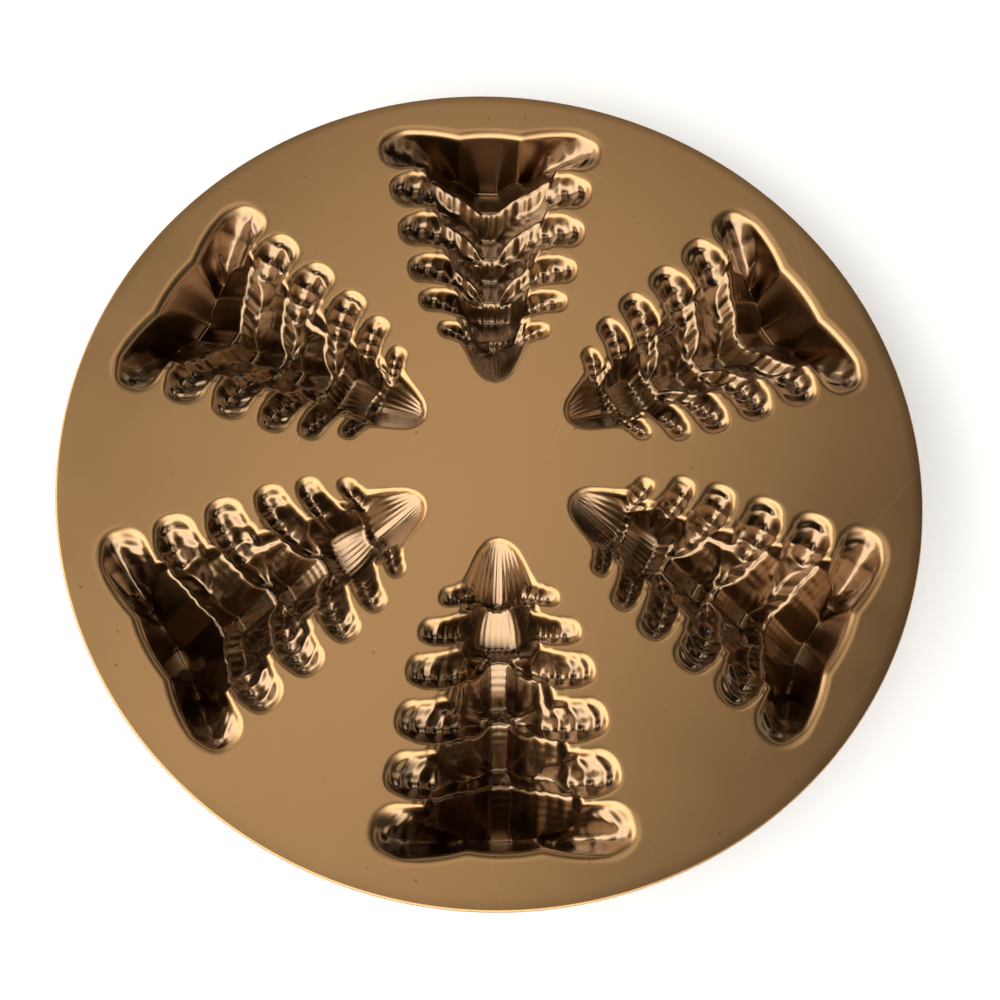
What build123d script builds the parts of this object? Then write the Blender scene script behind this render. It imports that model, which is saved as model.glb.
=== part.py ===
from build123d import *
from math import cos, hypot, pi, sin, sqrt
import os

# Round cast aluminium cakelet pan with six fir-tree wells, in millimetres.
# It lies on the bottoms of its wells. The origin is the middle of the base, +Z is up out of the deck,
# and the first well points along +Y.

# Pan
pan_diameter = 304.8
deck_thickness = 3.2
wall_thickness = 3.0
well_count = 6
foot_trim = 0.8

# Rounded bead round the edge of the deck
bead_width = 4.4
bead_height = 4.6
bead_round = 1.6

# Tree
tree_depth = 33.0
finger_bulges = 3
bulge_height = 1.0
flute_depth = 0.06         # how far the flutes of a centre bough stand in, of its half width
wall_reach = 2.0           # how far a section's walls run on above the deck, of its half width
fullness = 0.65            # 1 is a section with an elliptic floor, less is a fuller one

# Facets of a section, inside the well and outside it
trunk_facets = 3
centre_facets = 8
side_facets = 4
centre_facets_outside = 5
side_facets_outside = 3

deck_top = tree_depth + wall_thickness - foot_trim

# The tree lies on its back in the deck with its tip towards the middle of the pan. In the frame of one
# well x is across the tree, y is the distance from the middle of the pan, and z is 0 at the deck. Every
# bough is a row of like sections, each at its own place and scale, so that all its panels are flat.

# Trunk that the boughs stand out from, as (y, half width, depth)
trunk = [(46.0, 9.0, 10.0), (60.0, 14.0, 13.8), (84.0, 18.8, 17.0), (118.0, 26.0, 19.6), (128.0, 26.0, 16.0)]

# Centre boughs from tip to foot, as (y, half width, depth). Each deepens to its hem and steps up again.
centre_boughs = [
    [(29.5, 1.5, 1.5), (31.4, 5.0, 6.5), (36.0, 8.2, 12.2), (42.0, 10.8, 15.2), (49.7, 12.4, 16.8),
     (54.0, 11.0, 10.6)],
    [(51.5, 9.4, 13.0), (58.5, 12.6, 19.6), (64.8, 14.4, 22.6), (70.5, 12.0, 13.0)],
    [(69.0, 5.4, 14.0), (77.0, 13.0, 22.6), (84.8, 16.8, 27.2), (91.5, 13.0, 15.8)],
    [(89.4, 5.8, 17.2), (98.6, 15.6, 27.0), (107.2, 20.4, 32.2), (114.0, 16.0, 16.0)],
    [(110.2, 16.8, 18.0), (119.0, 23.5, 29.0), (129.0, 26.5, 33.0), (136.0, 26.0, -1.5)],
]

# Side boughs on one side: root (x, y), end (x, y), half width, depth at the axis of the tree
side_boughs = [
    ((4.0, 46.5), (20.4, 51.8), 4.2, 13.0),
    ((4.0, 57.5), (27.6, 63.2), 5.7, 20.0),
    ((3.0, 70.5), (31.7, 76.8), 7.3, 23.5),
    ((3.0, 86.5), (35.2, 93.0), 8.8, 26.5),
    ((4.0, 104.0), (38.6, 110.2), 8.8, 29.0),
    ((5.0, 121.0), (42.0, 127.4), 8.7, 31.5),
]
root_width = 0.45          # half width of a side bough at its root, of its full half width
full_width_at = 0.5        # where along it the full width is reached
root_depth = 0.74          # depth at its root, of the depth that it would have at the axis of the tree
full_depth_at = 0.33       # where along it the full depth is reached
depth_beyond = 1.5         # how far past its end its floor would come up to the deck
section_ratio = 2.0        # depth of its section, of its half width
valley_lean = 0.3          # how far its valley lies towards the foot of the tree, of its half width
taper = 0.12               # how much of its width is lost towards the end
end_round = 0.85           # how long its rounded end is, of its half width
end_narrowing = 0.8        # how much of its squared width the rounded end loses
end_steps = [0.7, 1.0]     # places along the rounded end


def half_round(facets, depth_ratio, flutes=0.0, lean=0.0):
    """Unit section: half width 1 at 0, bottom at -depth_ratio, its drafted walls carried up past the deck."""
    points = []
    for i in range(1, facets):
        a = pi * i / facets
        r = 1 - flutes * (i % 2)
        points.append((-cos(a) * r + lean * sin(a), -sin(a) ** fullness * r * depth_ratio))
    left = 1 - wall_reach * (1 + points[0][0]) / points[0][1]
    right = 1 - wall_reach * (1 - points[-1][0]) / points[-1][1]
    return [(-left, wall_reach)] + points + [(right, wall_reach)]


def panelled_loft(section, stations, across):
    """Closed solid through the section at each (x, y, half width, depth), all its faces flat."""
    depth_ratio = -min(v for u, v in section)
    rings = []
    for x, y, half_width, depth in stations:
        lift = depth_ratio * half_width - depth
        rings.append([Vector(x + across[0] * u * half_width, y + across[1] * u * half_width,
                             lift + v * half_width) for u, v in section])
    faces = [Face(Wire.make_polygon(rings[0])), Face(Wire.make_polygon(rings[-1]))]
    for near, far in zip(rings, rings[1:]):
        for i in range(len(near)):
            j = (i + 1) % len(near)
            faces.append(Face(Wire.make_polygon([near[i], near[j], far[j], far[i]])))
    return Solid(Shell(faces))


def centre_bough(stations, facets, flutes, grow):
    """Bough on the axis of the tree, grown by a wall on every side for the outside of the well."""
    middle = (stations[0][0] + stations[-1][0]) / 2
    reach = (stations[-1][0] - stations[0][0]) / 2
    placed = [(0, middle + (y - middle) * (1 + grow / reach), half_width + grow, depth + grow)
              for y, half_width, depth in stations]
    depth_ratio = max(depth / half_width for y, half_width, depth in stations)
    return panelled_loft(half_round(facets, depth_ratio, flutes), placed, (1, 0))


def side_stations(root, end, half_width, axis_depth, bulge, grow):
    """Stations of a finger: it swells from its root, and its floor rises over bulges to a rounded end."""
    dx = end[0] - root[0]
    dy = end[1] - root[1]
    steps = 2 * finger_bulges if bulge else 2
    body = 1 - end_round * half_width / hypot(dx, dy)
    places = [body * i / steps for i in range(steps + 1)]
    places += [body + (1 - body) * part for part in (end_steps if bulge else end_steps[-1:])]
    stations = []
    for i, t in enumerate(places):
        swell = root_width + (1 - root_width) * sin(pi / 2 * min(1, t / full_width_at))
        rise = root_depth + (1 - root_depth) * min(1, t / full_depth_at)
        across_tree = root[0] + dx * t
        depth = axis_depth * rise * sqrt(1 - (across_tree / (end[0] + depth_beyond)) ** 2)
        if bulge and i < steps:
            depth += bulge_height * (i % 2 - 0.5)
        past = max(0, t - body) / (1 - body)
        width = half_width * swell * (1 - taper * t) * sqrt(1 - end_narrowing * past ** 2)
        x = across_tree + grow * t
        y = root[1] + dy * sin(pi / 2 * t)
        stations.append((x, y, width + grow, depth + grow))
    return stations


def side_bough(root, end, half_width, axis_depth, facets, bulge, grow):
    """Finger that reaches out to the side of the tree."""
    stations = side_stations(root, end, half_width, axis_depth, bulge, grow)
    length = hypot(end[0] - root[0], end[1] - root[1])
    across = ((root[1] - end[1]) / length, (end[0] - root[0]) / length)
    return panelled_loft(half_round(facets, section_ratio, lean=valley_lean), stations, across)


def tree(across_centre, across_side, flutes=0.0, bulge=False, grow=0.0):
    """All the boughs of one tree as one solid, still open above the deck."""
    boughs = [centre_bough(trunk, trunk_facets, 0.0, grow)]
    boughs += [centre_bough(stations, across_centre, flutes, grow) for stations in centre_boughs]
    for root, end, half_width, axis_depth in side_boughs:
        finger = side_bough(root, end, half_width, axis_depth, across_side, bulge, grow)
        boughs += [finger, finger.mirror(Plane.YZ)]
    return boughs[0].fuse(*boughs[1:])


def inside_of_well():
    """Fluted and bulged form of one cakelet."""
    return tree(centre_facets, side_facets, flute_depth, True)


def outside_of_well():
    """The same form plainer, and larger by the wall all round."""
    return tree(centre_facets_outside, side_facets_outside, grow=wall_thickness)


def well():
    """Walled well in its own frame, cut level with the deck and flat at the foot."""
    slab = Pos(0, pan_diameter / 4, -deck_top / 2) * Box(pan_diameter / 2, pan_diameter / 2, deck_top)
    return (outside_of_well() & slab) - inside_of_well()


def round_the_pan(solid, k):
    """Copy of a well in its place, counted from +Y against the clock."""
    return Pos(0, 0, deck_top) * Rot(0, 0, 360 * k / well_count) * solid


def deck_plate():
    """Flat deck with an opening the shape of the outside of each well."""
    plate = Pos(0, 0, -deck_thickness / 2) * Cylinder(pan_diameter / 2 - bead_width, deck_thickness)
    outside = outside_of_well()
    openings = [Rot(0, 0, 360 * k / well_count) * outside for k in range(well_count)]
    return Pos(0, 0, deck_top) * (plate - openings)


def rim_bead():
    """Rounded ring, flush with the deck on top, that stiffens its edge."""
    outer = pan_diameter / 2
    section = Pos(outer - bead_width / 2, deck_top - bead_height / 2) * Rectangle(bead_width, bead_height)
    outer_corners = section.vertices().group_by(Axis.X)[-1]
    section = chamfer(outer_corners, bead_round)
    return revolve(Plane.XZ * section, Axis.Z)


os.makedirs("parts", exist_ok=True)
one_well = well()
export_step(deck_plate(), "parts/deck_plate.step")
export_step(rim_bead(), "parts/rim_bead.step")
for k in range(well_count):
    export_step(round_the_pan(one_well, k), f"parts/tree_well_{k + 1}.step")
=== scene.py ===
import math

import bmesh
import bpy
import numpy as np
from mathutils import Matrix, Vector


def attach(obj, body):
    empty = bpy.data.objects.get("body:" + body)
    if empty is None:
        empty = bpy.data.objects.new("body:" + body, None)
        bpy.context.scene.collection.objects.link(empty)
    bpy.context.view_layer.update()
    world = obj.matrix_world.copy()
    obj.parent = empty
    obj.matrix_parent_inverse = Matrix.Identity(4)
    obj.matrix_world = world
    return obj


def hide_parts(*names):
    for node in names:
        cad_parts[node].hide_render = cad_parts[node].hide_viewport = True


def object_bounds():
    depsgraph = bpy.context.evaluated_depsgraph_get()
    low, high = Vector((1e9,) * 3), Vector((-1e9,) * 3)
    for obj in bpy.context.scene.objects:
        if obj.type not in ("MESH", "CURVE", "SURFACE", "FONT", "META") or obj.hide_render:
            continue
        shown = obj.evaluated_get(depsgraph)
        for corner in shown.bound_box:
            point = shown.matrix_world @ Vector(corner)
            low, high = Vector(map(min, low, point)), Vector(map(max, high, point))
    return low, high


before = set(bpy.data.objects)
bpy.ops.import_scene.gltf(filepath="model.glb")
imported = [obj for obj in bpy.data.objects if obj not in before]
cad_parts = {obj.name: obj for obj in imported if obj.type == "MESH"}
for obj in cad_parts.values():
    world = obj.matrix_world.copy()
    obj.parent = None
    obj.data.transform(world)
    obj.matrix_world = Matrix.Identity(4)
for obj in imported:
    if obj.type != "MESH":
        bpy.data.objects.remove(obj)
cad_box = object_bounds()

# Camera: held over the pan, a little in front of its middle, and tilted forwards.
camera_data = bpy.data.cameras.new("camera")
camera_data.lens = 45.3
camera_data.sensor_width = 36
camera = bpy.data.objects.new("camera", camera_data)
camera.location = (-0.02512, -0.15984, cad_box[1][2] + 0.41328)
camera.rotation_euler = [math.radians(a) for a in (19.2557, -3.1815, -1.1574)]
bpy.context.scene.collection.objects.link(camera)
bpy.context.scene.camera = camera
bpy.context.scene.view_settings.view_transform = "Standard"

# Deck: the flat plate between the wells, 3.2 mm thick, cast in aluminium in one with them.
# The whole casting is blasted, sprayed with a metallic bronze non-stick coat and baked.
MM = 0.001
deck_top = cad_box[1][2] / MM
deck_thickness = 3.2
pan_radius = 152.4
rim_width = 4.4
well_count = 6
facets_round = 240
# half width, at distances from the middle of the pan, of the patch of deck that goes with one well
patch_edge = [(25.5, 7.5), (48.0, 23.0), (66.0, 35.0), (139.5, 48.0)]


def turned(x, y, k):
    """Place of a point of the first well's frame in the k-th well."""
    turn = 2 * math.pi * k / well_count
    return x * math.cos(turn) - y * math.sin(turn), x * math.sin(turn) + y * math.cos(turn)


def deck_mesh():
    """Plate between the rim and the six patches round the wells, in millimetres."""
    form = bmesh.new()
    inner = pan_radius - rim_width
    angles = [2 * math.pi * i / facets_round for i in range(facets_round)]
    loops = [[(inner * math.cos(a), inner * math.sin(a)) for a in angles]]
    outline = [(w, y) for y, w in patch_edge] + [(-w, y) for y, w in reversed(patch_edge)]
    for k in range(well_count):
        loops.append([turned(x, y, k) for x, y in outline])
    for level in (deck_top, deck_top - deck_thickness):
        edges = []
        for loop in loops:
            corners = [form.verts.new((x, y, level)) for x, y in loop]
            edges += [form.edges.new((corners[i - 1], corners[i])) for i in range(len(corners))]
        bmesh.ops.triangle_fill(form, use_beauty=True, use_dissolve=False, edges=edges)
    form.verts.index_update()
    form.verts.ensure_lookup_table()
    start = 0
    count = sum(len(loop) for loop in loops)
    for loop in loops:
        for i in range(len(loop)):
            a, b = start + i, start + (i + 1) % len(loop)
            form.faces.new([form.verts[n] for n in (a, b, b + count, a + count)])
        start += len(loop)
    bmesh.ops.recalc_face_normals(form, faces=form.faces)
    points = np.array([v.co for v in form.verts])
    faces = [[v.index for v in f.verts] for f in form.faces]
    form.free()
    return points, faces


def linear(hex_colour):
    """Linear RGBA from an sRGB hex colour."""
    channels = [int(hex_colour[i:i + 2], 16) / 255 for i in (1, 3, 5)]
    return [c / 12.92 if c <= 0.04045 else ((c + 0.055) / 1.055) ** 2.4 for c in channels] + [1.0]


def add_node(tree, kind, inputs=(), **settings):
    """New node with its settings; inputs are pairs of a socket and a value or another node's output."""
    node = tree.nodes.new(kind)
    for name, value in settings.items():
        setattr(node, name, value)
    for socket, value in inputs:
        if isinstance(value, bpy.types.NodeSocket):
            tree.links.new(value, node.inputs[socket])
        else:
            node.inputs[socket].default_value = value
    return node


# Metallic bronze non-stick coat, sprayed on cast aluminium and baked. It is satin on the deck, where the
# blasted metal under it is rougher, and glossier in the wells, where its darker colour is painted shade.
# depths below the deck over which the wells turn glossier, take the clear coat and take the painted shade
well_gloss_and_shade_start = 0.2
well_gloss_and_shade_end = 3.0
coat = bpy.data.materials.new("sprayed_bronze_non_stick_coat")
coat.use_nodes = True
bronze = coat.node_tree
shader = bronze.nodes["Principled BSDF"]
shader.inputs["Metallic"].default_value = 1.0
shader.inputs["Coat Roughness"].default_value = 0.18
shader.inputs["Coat IOR"].default_value = 1.7
place = add_node(bronze, "ShaderNodeTexCoord")
height = add_node(bronze, "ShaderNodeSeparateXYZ", [("Vector", place.outputs["Object"])])
sunk = add_node(bronze, "ShaderNodeMapRange", [
    ("Value", height.outputs["Z"]),
    ("From Min", (deck_top - well_gloss_and_shade_start) * MM),
    ("From Max", (deck_top - well_gloss_and_shade_end) * MM),
])
bronze.links.new(sunk.outputs["Result"], shader.inputs["Coat Weight"])

# clouds of slightly thicker and thinner spray, 30 mm across
cloud_width = 30 * MM
clouds = add_node(bronze, "ShaderNodeTexNoise", [
    ("Vector", place.outputs["Object"]),
    ("Scale", 1 / cloud_width),
    ("Detail", 3.0),
])
deck_colour = add_node(bronze, "ShaderNodeMix", [("Factor", clouds.outputs["Fac"])], data_type="RGBA")
deck_colour.inputs["A"].default_value = linear("#A58158")
deck_colour.inputs["B"].default_value = linear("#B18B5F")
colour = add_node(bronze, "ShaderNodeMix", [
    ("Factor", sunk.outputs["Result"]), ("A", deck_colour.outputs["Result"])], data_type="RGBA")
# colour of the wells: a darker bronze that is painted shade of the deep hollows
colour.inputs["B"].default_value = linear("#79592F")

# pinholes and baked-on crumbs, up to 0.9 mm wide: one in each third cell of 14 mm, so about 25 mm apart
speck_cell = 14 * MM
speck_share = 0.3
speck_radius = 0.45 * MM
speck_strength = 0.5
speck_cells = add_node(bronze, "ShaderNodeTexVoronoi", [
    ("Vector", place.outputs["Object"]), ("Scale", 1 / speck_cell)], voronoi_dimensions="2D")
speck_size = add_node(bronze, "ShaderNodeSeparateColor", [("Color", speck_cells.outputs["Color"])])
speck_reach = add_node(bronze, "ShaderNodeMapRange", [
    ("Value", speck_size.outputs["Red"]),
    ("From Min", 1 - speck_share),
    ("From Max", 1.0),
    ("To Min", 0.0),
    ("To Max", speck_radius / speck_cell),
])
speck = add_node(bronze, "ShaderNodeMath", [
    (0, speck_cells.outputs["Distance"]), (1, speck_reach.outputs["Result"])], operation="LESS_THAN")

# hairline scratches from knives and stacking, about 30 mm long: one across each fourth cell of 30 mm. Real
# ones are 0.1 mm wide, and these are drawn up to 0.34 mm wide so that they show
scratch_cell = 30 * MM
scratch_share = 0.25
scratch_half_width = 0.17 * MM
scratch_strength = 0.28
scratch_cells = add_node(bronze, "ShaderNodeTexVoronoi", [
    ("Vector", place.outputs["Object"]), ("Scale", 1 / scratch_cell)], voronoi_dimensions="2D")
scratch_turn = add_node(bronze, "ShaderNodeSeparateColor", [("Color", scratch_cells.outputs["Color"])])
scratch_angle = add_node(bronze, "ShaderNodeMath", [
    (0, scratch_turn.outputs["Green"]), (1, math.pi)], operation="MULTIPLY")
from_middle = add_node(bronze, "ShaderNodeVectorMath", [
    (0, place.outputs["Object"]), (1, scratch_cells.outputs["Position"])], operation="SUBTRACT")
along_scratch = add_node(bronze, "ShaderNodeVectorRotate", [
    ("Vector", from_middle.outputs["Vector"]), ("Angle", scratch_angle.outputs[0])], rotation_type="Z_AXIS")
scratch_axes = add_node(bronze, "ShaderNodeSeparateXYZ", [("Vector", along_scratch.outputs["Vector"])])
off_line = add_node(bronze, "ShaderNodeMath", [(0, scratch_axes.outputs["Y"])], operation="ABSOLUTE")
line_width = add_node(bronze, "ShaderNodeMapRange", [
    ("Value", scratch_turn.outputs["Red"]),
    ("From Min", 1 - scratch_share),
    ("From Max", 1.0),
    ("To Min", 0.0),
    ("To Max", scratch_half_width),
])
scratch = add_node(bronze, "ShaderNodeMath", [
    (0, off_line.outputs[0]), (1, line_width.outputs["Result"])], operation="LESS_THAN")

# specks darken the coat everywhere, and scratches show bright on the deck only
on_deck = add_node(bronze, "ShaderNodeMath", [(0, 1.0), (1, sunk.outputs["Result"])], operation="SUBTRACT")
marks = add_node(bronze, "ShaderNodeMath", [
    (0, speck.outputs[0]), (1, speck_strength)], operation="MULTIPLY")
marked = add_node(bronze, "ShaderNodeMix", [
    ("Factor", marks.outputs[0]), ("A", colour.outputs["Result"])], data_type="RGBA")
marked.inputs["B"].default_value = linear("#3A2614")
scratch_on_deck = add_node(bronze, "ShaderNodeMath", [
    (0, scratch.outputs[0]), (1, on_deck.outputs[0])], operation="MULTIPLY")
scratch_marks = add_node(bronze, "ShaderNodeMath", [
    (0, scratch_on_deck.outputs[0]), (1, scratch_strength)], operation="MULTIPLY")
scratched = add_node(bronze, "ShaderNodeMix", [
    ("Factor", scratch_marks.outputs[0]), ("A", marked.outputs["Result"])], data_type="RGBA")
scratched.inputs["B"].default_value = linear("#D9C3A0")
bronze.links.new(scratched.outputs["Result"], shader.inputs["Base Color"])

# satin on the deck, a little uneven with the clouds of spray, and glossier in the wells
well_roughness = 0.24
deck_rough = add_node(bronze, "ShaderNodeMapRange", [
    ("Value", clouds.outputs["Fac"]),
    ("From Min", 0.3),
    ("From Max", 0.7),
    ("To Min", 0.36),
    ("To Max", 0.40),
])
rough = add_node(bronze, "ShaderNodeMix", [
    ("Factor", sunk.outputs["Result"]),
    ("A", deck_rough.outputs["Result"]),
    ("B", well_roughness),
], data_type="FLOAT")
bronze.links.new(rough.outputs["Result"], shader.inputs["Roughness"])

# spray droplets are 0.1 mm wide and can't show, so their grain is drawn 0.9 mm wide
grain_width = 0.9 * MM
grain_height = 0.02 * MM
grain = add_node(bronze, "ShaderNodeTexNoise", [
    ("Vector", place.outputs["Object"]),
    ("Scale", 1 / grain_width),
    ("Detail", 2.0),
])
bump = add_node(bronze, "ShaderNodeBump", [
    ("Height", grain.outputs["Fac"]),
    ("Strength", 0.35),
    ("Distance", grain_height),
])
bronze.links.new(bump.outputs["Normal"], shader.inputs["Normal"])
sharp_angle = math.radians(50)


def cast_piece(name, points, faces, node):
    """Smooth piece of the casting, from points in millimetres, that stands for a node."""
    mesh = bpy.data.meshes.new(name)
    mesh.from_pydata((points * MM).tolist(), [], faces)
    mesh.set_sharp_from_angle(angle=sharp_angle)
    mesh.materials.append(coat)
    piece = bpy.data.objects.new(name, mesh)
    bpy.context.scene.collection.objects.link(piece)
    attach(piece, "root")
    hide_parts(node)


deck_points, deck_faces = deck_mesh()
cast_piece("deck_form", deck_points, deck_faces, "deck_plate")

# Rim: the rounded edge of the casting, thicker than the deck so that it stays flat in the oven.
# It is cast with the deck and has the same coat.
rim_height = 4.6
rim_round = 1.0
rim_foot_round = 1.2
rim_round_steps = 6
rim_foot_steps = 4


def quarter_round(middle_r, middle_z, radius, first, last, steps):
    """Points of an arc of the rim's section, by angle in quarter turns."""
    angles = [math.pi / 2 * (first + (last - first) * i / steps) for i in range(steps + 1)]
    return [(middle_r + radius * math.cos(a), middle_z + radius * math.sin(a)) for a in angles]


def rim_mesh():
    """Ring turned from the section of the rounded edge, in millimetres."""
    outer = pan_radius - rim_round
    inner = pan_radius - rim_width
    section = [(inner, 0.0)]
    foot_r = inner + rim_foot_round
    foot_z = rim_foot_round - rim_height
    section += quarter_round(outer, -rim_round, rim_round, 1, 0, rim_round_steps)
    section += quarter_round(outer, rim_round - rim_height, rim_round, 0, -1, rim_round_steps)
    section += quarter_round(foot_r, foot_z, rim_foot_round, -1, -2, rim_foot_steps)
    section.append((inner, -deck_thickness))
    angles = [2 * math.pi * i / facets_round for i in range(facets_round)]
    points = [(r * math.cos(a), r * math.sin(a), deck_top + z) for a in angles for r, z in section]
    faces = []
    n = len(section)
    for i in range(facets_round):
        for j in range(n):
            after = (i + 1) % facets_round * n
            faces.append((i * n + j, i * n + (j + 1) % n, after + (j + 1) % n, after + j))
    return np.array(points), faces


rim_points, rim_faces = rim_mesh()
cast_piece("rim_form", rim_points, rim_faces, "rim_bead")

# Tree wells: six deep moulds in the deck, each half a fir tree on its back with its tip to the middle, with a
# tapering trunk, five fluted skirts below one another and six pairs of finger-like boughs. They are cast in
# one with the deck, in a 3 mm wall, and the mouth of each is rounded so that the cake comes out.
wall = 3.0
# bulges: how round the creases between them are, and the level that they rise and fall from
crease_round = 0.02
ripple_middle = 0.64


def curve(x, points):
    """Smooth line through points in order of x, level with them beyond its ends."""
    px, py = np.array(points).T
    slope = np.gradient(py, px)
    x = np.clip(x, px[0], px[-1])
    i = np.clip(np.searchsorted(px, x) - 1, 0, len(px) - 2)
    span = px[i + 1] - px[i]
    t = (x - px[i]) / span
    rise = py[i] * (1 + 2 * t) * (1 - t) ** 2 + py[i + 1] * t * t * (3 - 2 * t)
    return rise + span * (slope[i] * t * (1 - t) ** 2 - slope[i + 1] * t * t * (1 - t))


def soft_max(a, b, width):
    """Larger of two, with the corner between them rounded over that width."""
    near = np.clip(width - np.abs(a - b), 0, None) / width
    return np.maximum(a, b) + near * near * width / 4


def soft_ramp(x, sharpness, limit):
    """0 up to 0 and then x, up to a limit, with a rounded start."""
    return np.log1p(np.exp(sharpness * np.clip(x, -limit, limit))) / sharpness


def ripple(phase):
    """Rounded bulges with a narrow crease between, one to a unit of phase, from about -0.5 to 0.4."""
    return np.sqrt(np.sin(np.pi * phase) ** 2 + crease_round) - ripple_middle


def hollow(aside, power):
    """Section of a skirt or the trunk: 1 on its middle line, 0 at its edge, and negative outside."""
    inside = np.sqrt(np.clip(1 - np.abs(aside) ** power, 0, 1))
    return np.where(np.abs(aside) < 1, inside, 1 - np.abs(aside))


def cone(aside, roundness):
    """Section of the cap: sloping sides and a rounded bottom, 1 in the middle, 0 at its edge."""
    edge = math.hypot(1, roundness)
    return (edge - np.hypot(aside, roundness)) / (edge - roundness)


# Places are in a well's own frame, in mm: x is across the tree, y is the distance from the middle of the pan.
# Skirts from tip to foot: half widths at places y along the tree, from the top of the skirt to its hem
skirt_sides = [
    [(29.4, 0.0), (30.4, 3.4), (32.5, 6.2), (36.0, 8.4), (41.0, 10.6), (46.0, 12.4), (49.7, 13.0)],
    [(51.5, 8.5), (54.5, 11.0), (58.0, 12.8), (61.0, 13.6), (64.8, 14.0)],
    [(66.0, 12.0), (78.0, 13.0), (84.8, 13.4)],
    [(86.0, 15.0), (99.8, 15.6), (107.2, 15.8)],
    [(107.0, 23.0), (119.0, 24.0), (124.0, 24.5), (129.0, 24.5)],
]
# depth at the top and at the hem, slope up past the hem, number of scallops in the hem, height of the flutes,
# how far it runs on past the hem, and how far that end is bowed
skirt_floors = [
    (0.0, 16.8, 1.3, 12, 0.1, 6.0, 0.0),
    (13.0, 22.6, 1.7, 11, 0.1, 6.0, 0.0),
    (14.0, 27.2, 1.9, 6, 0.0, 6.0, 0.0),
    (17.2, 32.2, 2.9, 6, 0.0, 6.0, 0.0),
    (18.5, 33.0, 0.2, 8, 0.0, 6.5, 3.0),
]
# how full a skirt's section is and how steep its top, the nose of the cap, and the bow, scallops and softness
# of a hem, past which the floor comes up again
least_depth = 0.02
skirt_fullness = 3.0
skirt_top_slope = 2.0
narrowest = 0.3
farthest_aside = 3.0
cap_roundness = 0.35
cap_swell = 0.15
cap_nose_slope = 3.0
hem_bow = 2.6
hem_bow_limit = 1.5
hem_scallop = 0.8
hem_sharpness = 5.0
hem_run = 6.0
flute_start = 4.0
end_bow_width = 19.0


def skirt(x, y, sides, top_depth, hem_depth, slope, scallops, flute_height, run_on, end_bow):
    """Depth of one skirt, and its rough distance in from the mouth."""
    is_cap = top_depth == 0
    top, hem = sides[0][0], sides[-1][0]
    along = np.clip((y - top) / (hem - top), 0, 1)
    half_width = curve(y, sides)
    if is_cap:
        swell = along * (1 + cap_swell - cap_swell * along)
        half_width = np.where(y > top, half_width, cap_nose_slope * (y - top))
    else:
        swell = (np.sin(np.pi / 2 * along) + along) / 2
    aside = np.clip(x / np.maximum(half_width, narrowest), -farthest_aside, farthest_aside)
    scalloped = hem_scallop * ripple(scallops * (aside + 1) / 2)
    past_hem = y - hem + hem_bow * np.minimum(aside * aside, hem_bow_limit) - scalloped
    depth = top_depth + (hem_depth - top_depth) * swell
    depth = depth - slope * soft_ramp(past_hem, hem_sharpness, hem_run)
    depth = depth + skirt_top_slope * np.minimum(y - top, 0)
    fluted = np.cos(np.pi * (scallops + 2) * aside) * np.clip(flute_start * along, 0, 1)
    depth = depth + flute_height * fluted
    end = hem + run_on - end_bow * (x / end_bow_width) ** 2
    edge = np.minimum(half_width - np.abs(x), end - y)
    if not is_cap:
        edge = np.minimum(edge, y - top)
    section = cone(aside, cap_roundness) if is_cap else hollow(aside, skirt_fullness)
    return np.maximum(depth, least_depth) * section, edge


# Side boughs on the right, from tip to foot: valley from x y to x y, its sag, width to the tip side and to
# the foot side, notch that it spreads to at its root, and its depth there
finger_plans = [
    (4.0, 47.0, 20.6, 51.8, 0.8, 4.6, 2.9, 15.0, 12.0),
    (4.0, 59.0, 27.6, 63.6, 1.6, 6.0, 4.0, 14.0, 17.5),
    (3.0, 72.0, 31.7, 77.3, 2.0, 7.8, 4.8, 16.0, 20.0),
    (3.0, 89.6, 35.3, 93.4, 2.8, 9.4, 5.6, 21.5, 23.5),
    (4.0, 108.0, 38.7, 111.2, 2.6, 10.6, 5.6, 24.5, 26.0),
    (5.0, 125.5, 42.0, 128.8, 2.4, 10.8, 6.6, 28.5, 30.0),
]
# spread of the tip side at the root, slope of the floor up to the end, slope and roundness of the valley's
# slit, slope of the flank, and height of the bulges
finger_forms = [
    (0.12, 0.58, 1.9, 0.4, 0.62, 1.035),
    (0.12, 0.58, 1.9, 0.4, 0.62, 1.35),
    (0.12, 0.58, 1.9, 0.4, 0.62, 1.755),
    (0.25, 0.58, 1.9, 0.4, 0.62, 1.8),
    (0.25, 0.58, 1.9, 0.4, 0.828, 1.8),
    (0.25, 0.9, 2.6, 0.5, 1.108, 0.54),
]
# plan: rounded end of the tip side's width, rounded root, trunk's reach, spread of the foot side and how far
# out it goes, and how much of the squared width is left at the very end
end_round = 0.8
root_round = 4.0
trunk_reach = 6.0
foot_spread = 1.6
foot_spread_end = 0.7
least_end = 0.03
# floor: share of its depth at the very root and how fast it gets the rest, and its step up at the end
root_share = 0.7
root_swell = 3.0
end_ease = 1.2
end_drop = 1.5
floor_ease = 5.0
# flank and steep wall: how they leave the mouth, how deep they go, and how soft their corners are
flank_drop = 0.12
flank_share = 0.7
flank_edge = 2.0
flank_ease = 1.5
least_ease = 0.01
foot_slope = 1.7
foot_extra = 2.0
foot_ease = 2.0
# bulges, in widths of the tip side from the end, their bow, their crown, and the ribs between them
bulge_start = 0.45
bulge_spacing = 0.6
bulge_bow = 0.07
bulge_bow_limit = 120.0
bulge_gain = 3.0
bulge_onset = 0.5
least_bulge = 0.1
crown_share = 0.5
crown_width = 0.4
edge_fade = 2.0
rib_height = 0.15
rib_spacing = 2.9
rib_start = 3.0
shallow = 4.0


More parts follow.
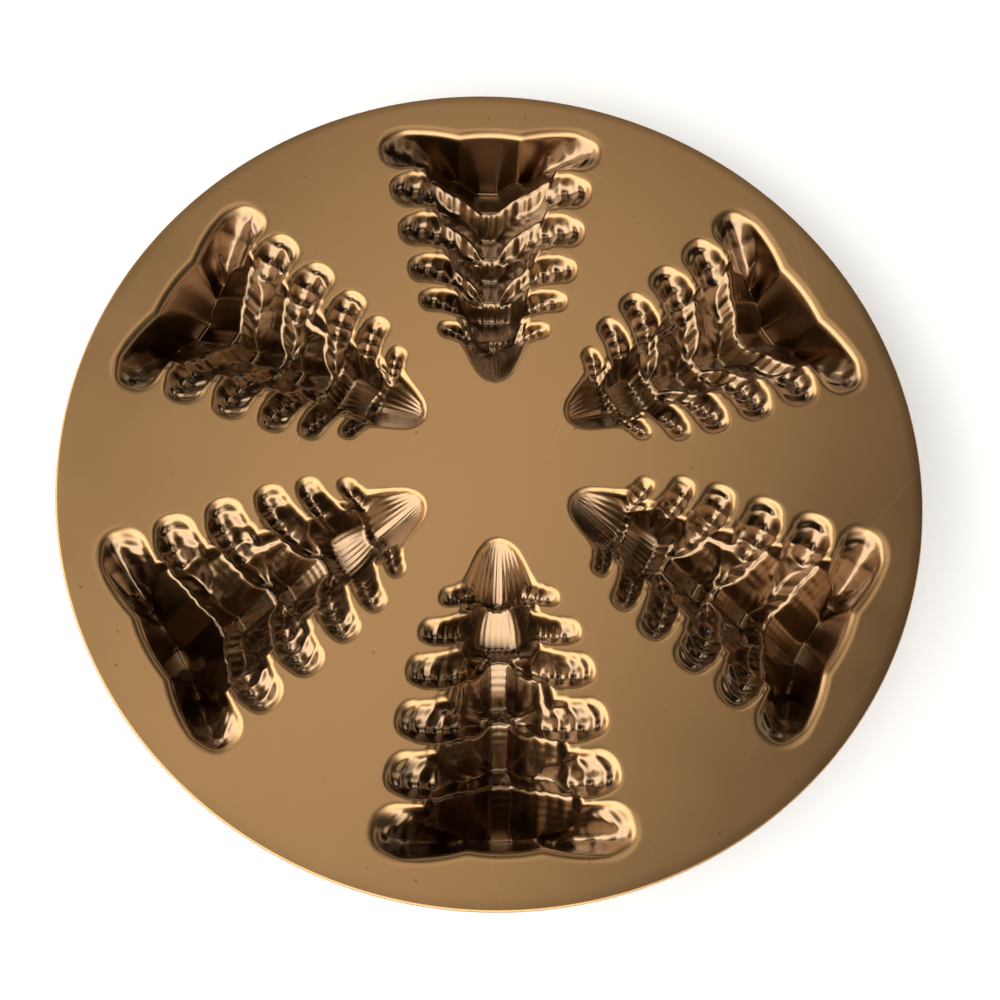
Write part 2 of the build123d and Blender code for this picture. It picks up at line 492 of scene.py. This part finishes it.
def finger(x, y, root_x, root_y, end_x, end_y, sag, tip_width, foot_width, notch_x, root_depth,
           tip_spread, floor_slope, slit_slope, slit_round, flank_slope, bulge_height):
    """Depth of a side bough with its flank, slit and steep wall, and its rough distance in from the mouth."""
    length = math.hypot(end_x - root_x, end_y - root_y)
    out_x, out_y = (end_x - root_x) / length, (end_y - root_y) / length
    along = ((x - root_x) * out_x + (y - root_y) * out_y) / length
    part = np.clip(along, 0, 1)
    to_foot = (y - root_y) * out_x - (x - root_x) * out_y - sag * np.sin(np.pi * part)
    on_tip_side = to_foot < 0
    off = np.abs(to_foot)

    # plan of the bough: two widths, a rounded end and a spread at its root
    body = 1 - end_round * tip_width / length
    past = np.maximum(0, along - body) / (1 - body) - np.minimum(0, along) * length / root_round
    side_width = np.where(on_tip_side, tip_width, foot_width)
    edge = (1 - np.hypot(past, to_foot / side_width)) * foot_width
    reach = root_x + part * (end_x - root_x)
    to_notch = np.maximum(0, notch_x - np.maximum(reach, trunk_reach))
    spread_to_foot = foot_spread * np.maximum(0, foot_spread_end - part)
    spread = 1 + np.where(on_tip_side, tip_spread * to_notch, spread_to_foot)
    width = side_width * spread * np.sqrt(np.clip(1 - past * past, least_end, 1))

    # floor that rises to the end, and the slit along it
    out = (1 - part) * (end_x - root_x)
    root = root_depth * (root_share + (1 - root_share) * np.minimum(1, root_swell * part))
    rise = floor_slope * out * out / (out + end_ease) + end_drop * (1 - np.exp(-out * out))
    floor = -soft_max(-rise, -root, floor_ease)
    round_floor = slit_round * tip_width
    slit = floor - slit_slope * (np.hypot(off, round_floor) - round_floor)

    # gentle flank on the tip side, steep wall on the foot side
    from_edge = width - off
    flank = np.minimum(flank_slope, flank_share * floor / width)
    gentle = flank_drop * floor * np.tanh(from_edge / flank_edge) + flank * from_edge
    tip_side = soft_max(gentle, slit, flank_ease * np.clip(off / flank_ease, least_ease, 1))
    steep = np.maximum(foot_slope, (floor + foot_extra) / width) * from_edge
    foot_side = -soft_max(-slit, -steep, foot_ease)

    # nested bulges across the bough and finer ribs on its tip side
    from_end = (1 - along) * length - bulge_bow * np.minimum(to_foot * to_foot, bulge_bow_limit)
    wave = ripple((from_end / tip_width - bulge_start) / bulge_spacing)
    wave = wave * np.clip(bulge_gain * part - bulge_onset, least_bulge, 1)
    inside = np.clip(from_edge / edge_fade, 0, 1)
    crown = np.exp(-(off / (crown_width * tip_width)) ** 2)
    bulges = bulge_height * wave * ((1 - crown_share) * inside + crown_share * crown)
    ribs = rib_height * np.cos(2 * np.pi * from_end / rib_spacing) * np.clip(off / rib_start, 0, 1)
    relief = (bulges + ribs * inside * on_tip_side) * np.clip(floor / shallow, 0, 1)
    return np.where(on_tip_side, tip_side, foot_side) + relief, edge


# Thin crests between the lower tiers: x y depth, from the axis out to the notch between two fingers
crests = [
    [(0.0, 69.8, 15.0), (3.0, 70.1, 15.0), (6.5, 75.2, 13.8), (12.5, 78.0, 10.4), (17.3, 80.5, 5.8),
     (21.5, 82.6, 0.9)],
    [(0.0, 90.2, 18.4), (3.2, 90.6, 18.2), (6.5, 94.6, 16.4), (12.0, 96.5, 12.8), (18.5, 98.8, 7.2),
     (24.5, 100.8, 1.0)],
    [(0.0, 111.3, 19.5), (4.0, 111.6, 19.5), (8.0, 113.3, 18.2), (16.0, 114.9, 13.6), (20.0, 116.3, 10.0),
     (25.0, 117.6, 5.2), (28.5, 118.2, 1.4)],
]
# how much steeper each is on its tip side near the axis, and on its foot side per mm out to the notch
crest_steps = [(0.0, 0.0), (0.0, 0.0), (0.21, 0.07)]
# round of its edge, slopes to the tip side and the foot side, and where these change near notch and axis
crest_round = 0.3
crest_tip_slope = 1.45
crest_foot_slope = 0.84
notch_slope = 0.05
notch_run = 6.5
axis_run = 12.0
axis_fade = 6.0
# share by which a crest stands higher than its line, from where and over how far, and how far from the notch
crest_lift = 0.25
lift_start = 3.0
lift_run = 9.0
lift_end = 6.0
# scallops along a crest, and what is left of them far down its slopes
scallop_height = 0.7
scallop_width = 3.7
scallop_left = 0.25
scallop_reach = 3.0
# ripples down its foot side, and the drops past them and past the notch
crest_ripple = 0.1
ripple_spacing = 2.3
ripple_start = 2.0
ripple_end = 11.0
ripple_fade = 5.0
drop_slope = 1.6
drop_start = 6.0
drop_inward = 0.5
beyond_curve = 0.5
beyond_start = 1.0


def tier_top(x, y, crest, axis_step, notch_step):
    """Deepest that the form may be near one crest, with slopes down from it both ways."""
    crest_x, crest_y, crest_depth = zip(*crest)
    notch = crest_x[-1]
    across = np.abs(x)
    off = y - curve(across, list(zip(crest_x, crest_y)))
    kept = scallop_left + (1 - scallop_left) * np.exp(-np.abs(off) / scallop_reach)
    off = off - scallop_height * ripple(across / scallop_width) * kept
    lift = np.clip((across - lift_start) / lift_run, 0, 1) * np.clip((notch - across) / lift_end, 0, 1)
    depth = curve(across, list(zip(crest_x, crest_depth))) * (1 - crest_lift * lift)
    outward = np.maximum(0, across - notch + notch_run)
    tip_fall = crest_tip_slope + notch_slope * outward
    tip_fall = tip_fall + axis_step * np.clip((axis_run - across) / axis_fade, 0, 1)
    foot_fall = crest_foot_slope + notch_step * outward
    down = np.where(off < 0, -tip_fall * off, foot_fall * off)
    drop = drop_slope * np.maximum(0, off - drop_start - drop_inward * np.maximum(0, notch - across))
    ripples = crest_ripple * np.sin(2 * np.pi * off / ripple_spacing)
    ripples = ripples * np.clip(off / ripple_start, 0, 1) * np.clip((ripple_end - off) / ripple_fade, 0, 1)
    beyond = beyond_curve * np.maximum(0, across - notch + beyond_start) ** 2
    return depth + np.hypot(down, crest_round) + drop + ripples + beyond


# Trunk: where its core and its mouth start and end, its width and depth where it starts, and how they grow
trunk_start = 46.0
trunk_end = 122.0
trunk_mouth = (44.0, 126.0)
trunk_half_width = 9.0
trunk_spread = 0.236
trunk_margin = 1.5
trunk_depth = 6.0
trunk_fall = 0.12
trunk_start_slope = 2.0
trunk_end_slope = 3.0
trunk_fullness = 2.0


def trunk(x, y):
    """Depth of the core that the boughs stand out from, and its rough distance in from the mouth."""
    half_width = trunk_half_width + trunk_spread * (y - trunk_start)
    depth = trunk_depth + trunk_fall * (y - trunk_start)
    depth = depth - trunk_start_slope * np.maximum(0, trunk_start - y)
    depth = depth - trunk_end_slope * np.maximum(0, y - trunk_end)
    aside = np.abs(x) / np.maximum(half_width - trunk_margin, 1)
    ends = np.minimum(y - trunk_mouth[0], trunk_mouth[1] - y)
    edge = np.minimum(half_width - np.abs(x), ends)
    return np.maximum(depth, least_depth) * hollow(aside, trunk_fullness), edge


# widths over which boughs, and their mouths, run into one another, and what the search for both starts from
bough_blend = 0.8
mouth_blend = 0.5
slope_step = 0.05
least_slope = 0.6
far_above = -5.0
far_outside = -9.0


def boughs(x, y):
    """Depth of the boughs as one form with crests between them, and the distance in from its mouth."""
    forms = [(trunk, x, ())]
    forms += [(skirt, x, (sides,) + floors) for sides, floors in zip(skirt_sides, skirt_floors)]
    forms += [(finger, np.abs(x), plan + form) for plan, form in zip(finger_plans, finger_forms)]
    deepest = np.full_like(x, far_above)
    farthest = np.full_like(x, far_outside)
    for form, across, values in forms:
        depth, edge = form(across, y, *values)
        slope_x = (form(across + slope_step, y, *values)[1] - edge) / slope_step
        slope_y = (form(across, y + slope_step, *values)[1] - edge) / slope_step
        inward = edge / np.clip(np.hypot(slope_x, slope_y), least_slope, None)
        deepest = soft_max(deepest, depth, bough_blend)
        farthest = soft_max(farthest, inward, mouth_blend)
    for crest, steps in zip(crests, crest_steps):
        deepest = -soft_max(-deepest, -tier_top(x, y, crest, *steps), bough_blend)
    return deepest, farthest


# Mouth and walls: round of the mouth, share of it that is used, how far it reaches out, slope of the walls,
# and round of the corner between wall and floor, which is tighter at the foot of the tree
mouth_radius = 3.8
mouth_arc = 0.98
mouth_lip = 2.0
mouth_ease = 1.4
wall_slope = 6.0
corner_round = 3.0
foot_corner_round = 0.8
foot_run = 6.0


def cavity(x, y):
    """Depth of the finished cavity below the deck, its mouth rounded off and its walls a little drafted."""
    depth, inward = boughs(x, y)
    eased = (depth + np.sqrt(depth ** 2 + mouth_ease ** 2)) / 2
    arc_end = mouth_arc * mouth_radius
    into_round = np.clip(inward + mouth_lip, 0, arc_end)
    lip = mouth_radius - np.sqrt(mouth_radius ** 2 - into_round ** 2)
    lip = lip + wall_slope * np.maximum(inward + mouth_lip - arc_end, 0)
    before_foot = np.clip((trunk_end - y) / foot_run, 0, 1)
    corner = foot_corner_round + (corner_round - foot_corner_round) * before_foot
    return np.maximum(-soft_max(-eased, -lip, corner), 0)


# rings round a place in which the cavity is felt for: radius, number of points, and how far it is turned
wall_rings = [(1.2, 6, 0.5), (2.2, 8, 0.0), (2.8, 10, 0.0), (wall, 12, 0.0)]
wall_start = 1.5
deck_blend = 1.2


def outside(x, y):
    """Depth of the underside: the cavity with a wall of even thickness round it, flat at the foot."""
    depth = cavity(x, y) + wall
    for radius, count, turn in wall_rings:
        for i in range(count):
            a = 2 * math.pi * (i + turn) / count
            under = cavity(x + radius * math.cos(a), y + radius * math.sin(a))
            depth = np.maximum(depth, under + math.sqrt(wall ** 2 - radius ** 2))
    depth = depth - np.exp((wall - depth) / wall_start)
    depth = soft_max(depth, np.full_like(depth, deck_thickness), deck_blend)
    return np.minimum(depth, deck_top)


# quads across and along a patch, the share of the rows that lie on the tree, and the evening out of the grid
grid_across = 200
grid_along = 250
tree_share = 0.8
tree_foot = 127.0
relax_share = 0.5
relax_inside = 4
relax_outside = 3


def patch_grid(across, along):
    """Places of a grid over the patch of deck round one well."""
    first, last = patch_edge[0][0], patch_edge[-1][0]
    ys = np.interp(np.linspace(0, 1, along + 1), [0, tree_share, 1], [first, tree_foot, last])
    half = np.interp(ys, [y for y, w in patch_edge], [w for y, w in patch_edge])
    us = np.linspace(-1, 1, across + 1)
    return us[None, :] * half[:, None], np.repeat(ys[:, None], across + 1, axis=1)


def relax(points, times):
    """Evens out a grid of points, its border held."""
    for _ in range(times):
        mean = (points[:-2, 1:-1] + points[2:, 1:-1] + points[1:-1, :-2] + points[1:-1, 2:]) / 4
        points[1:-1, 1:-1] += relax_share * (mean - points[1:-1, 1:-1])
    return points


def grid_faces(across, along, start, flip):
    """Quads of a grid of points that are numbered from a start, facing up, or down if flipped."""
    row = across + 1
    faces = []
    for j in range(along):
        for i in range(across):
            a = start + j * row + i
            corners = (a, a + 1, a + row + 1, a + row)
            faces.append((corners[0],) + corners[:0:-1] if flip else corners)
    return faces


def border(across, along, start):
    """Point numbers round the border of a grid, against the clock seen from above."""
    row = across + 1
    near = [start + i for i in range(across)]
    right = [start + j * row + across for j in range(along)]
    far = [start + along * row + across - i for i in range(across)]
    left = [start + (along - j) * row for j in range(along)]
    return near + right + far + left


def well_mesh():
    """Points and faces of one closed well in its own frame, in millimetres."""
    x, y = patch_grid(grid_across, grid_along)
    top = relax(np.stack([x, y, -cavity(x, y)], axis=-1), relax_inside)
    half_across, half_along = grid_across // 2, grid_along // 2
    x, y = patch_grid(half_across, half_along)
    below = -outside(x, y)
    below[0, :] = below[-1, :] = -deck_thickness
    below[:, 0] = below[:, -1] = -deck_thickness
    below = relax(np.stack([x, y, np.minimum(below, -deck_thickness)], axis=-1), relax_outside)
    points = np.concatenate([top.reshape(-1, 3), below.reshape(-1, 3)])
    start = (grid_across + 1) * (grid_along + 1)
    faces = grid_faces(grid_across, grid_along, 0, False)
    faces += grid_faces(half_across, half_along, start, True)
    upper = border(grid_across, grid_along, 0)
    lower = border(half_across, half_along, start)
    for i in range(len(lower)):
        a, m, b = upper[2 * i], upper[2 * i + 1], upper[(2 * i + 2) % len(upper)]
        c, d = lower[i], lower[(i + 1) % len(lower)]
        faces += [(a, c, m), (m, c, d), (m, d, b)]
    return points, faces


well_points, well_faces = well_mesh()
for k in range(well_count):
    x, y = turned(well_points[:, 0], well_points[:, 1], k)
    placed = np.stack([x, y, well_points[:, 2] + deck_top], axis=-1)
    cast_piece(f"tree_well_{k + 1}_form", placed, well_faces, f"tree_well_{k + 1}")

# Studio floor: a wide sheet of matt white paper.
# It glows a little for the camera and for the metal, so that both show it white round its shadow.
floor_half = 40.0
paper_glow = 0.22
floor_mesh = bpy.data.meshes.new("studio_floor")
corners = [(-floor_half, -floor_half, 0), (floor_half, -floor_half, 0),
           (floor_half, floor_half, 0), (-floor_half, floor_half, 0)]
floor_mesh.from_pydata(corners, [], [(0, 1, 2, 3)])
floor = bpy.data.objects.new("studio_floor", floor_mesh)
bpy.context.scene.collection.objects.link(floor)

paper = bpy.data.materials.new("matt_white_paper")
paper.use_nodes = True
sheet = paper.node_tree
paper_shader = sheet.nodes["Principled BSDF"]
paper_shader.inputs["Base Color"].default_value = linear("#F4F4F4")
paper_shader.inputs["Roughness"].default_value = 0.9
paper_shader.inputs["Emission Color"].default_value = linear("#FFFFFF")
ray = add_node(sheet, "ShaderNodeLightPath")
seen = add_node(sheet, "ShaderNodeMath", [
    (0, ray.outputs["Is Camera Ray"]), (1, ray.outputs["Is Glossy Ray"])], operation="MAXIMUM")
seen = add_node(sheet, "ShaderNodeMath", [
    (0, seen.outputs[0]), (1, ray.outputs["Is Transmission Ray"])], operation="MAXIMUM")
glow = add_node(sheet, "ShaderNodeMath", [(0, seen.outputs[0]), (1, paper_glow)], operation="MULTIPLY")
sheet.links.new(glow.outputs[0], paper_shader.inputs["Emission Strength"])
floor_mesh.materials.append(paper)

# Studio light: a room with low windows to the front left and one soft lamp under its ceiling, askew to the
# pan. For the camera and for reflections a white band runs all round the room above the floor.
window_side = (-0.75, -0.66, 0.0)
world = bpy.data.worlds.new("studio")
world.use_nodes = True
bpy.context.scene.world = world
room = world.node_tree
towards = add_node(room, "ShaderNodeTexCoord")
facing = add_node(room, "ShaderNodeVectorMath", [
    (0, towards.outputs["Generated"]), (1, window_side)], operation="DOT_PRODUCT")
side = add_node(room, "ShaderNodeMapRange", [
    ("Value", facing.outputs["Value"]),
    ("From Min", -0.15),
    ("From Max", 0.45),
], interpolation_type="SMOOTHSTEP")
level = add_node(room, "ShaderNodeSeparateXYZ", [("Vector", towards.outputs["Generated"])])
low = add_node(room, "ShaderNodeMapRange", [
    ("Value", level.outputs["Z"]),
    ("From Min", 0.97),
    ("From Max", 0.5),
], interpolation_type="SMOOTHSTEP")
window = add_node(room, "ShaderNodeMath", [
    (0, side.outputs["Result"]), (1, low.outputs["Result"])], operation="MULTIPLY")
daylight = add_node(room, "ShaderNodeMapRange", [
    ("Value", window.outputs[0]), ("To Min", 0.02), ("To Max", 4.5)])
ray = add_node(room, "ShaderNodeLightPath")
seen = add_node(room, "ShaderNodeMath", [
    (0, ray.outputs["Is Camera Ray"]), (1, ray.outputs["Is Glossy Ray"])], operation="MAXIMUM")
seen = add_node(room, "ShaderNodeMath", [
    (0, seen.outputs[0]), (1, ray.outputs["Is Transmission Ray"])], operation="MAXIMUM")
band = add_node(room, "ShaderNodeMapRange", [
    ("Value", level.outputs["Z"]),
    ("From Min", 0.3),
    ("From Max", 0.15),
])
seen_band = add_node(room, "ShaderNodeMath", [
    (0, band.outputs["Result"]), (1, seen.outputs[0])], operation="MULTIPLY")
brightness = add_node(room, "ShaderNodeMath", [
    (0, daylight.outputs["Result"]), (1, seen_band.outputs[0])], operation="MAXIMUM")
room.nodes["Background"].inputs["Color"].default_value = linear("#FFFDF8")
room.links.new(brightness.outputs[0], room.nodes["Background"].inputs["Strength"])

lamp_data = bpy.data.lights.new("ceiling_lamp", "AREA")
lamp_data.shape = "RECTANGLE"
lamp_data.size = 1.05
lamp_data.size_y = 1.8
lamp_data.energy = 8.3
lamp_data.color = linear("#FFF9F0")[:3]
lamp = bpy.data.objects.new("ceiling_lamp", lamp_data)
lamp.location = (-0.04, 0.56, 1.9)
lamp.rotation_euler = [math.radians(a) for a in (-16.4, -1.2, -25.0)]
bpy.context.scene.collection.objects.link(lamp)
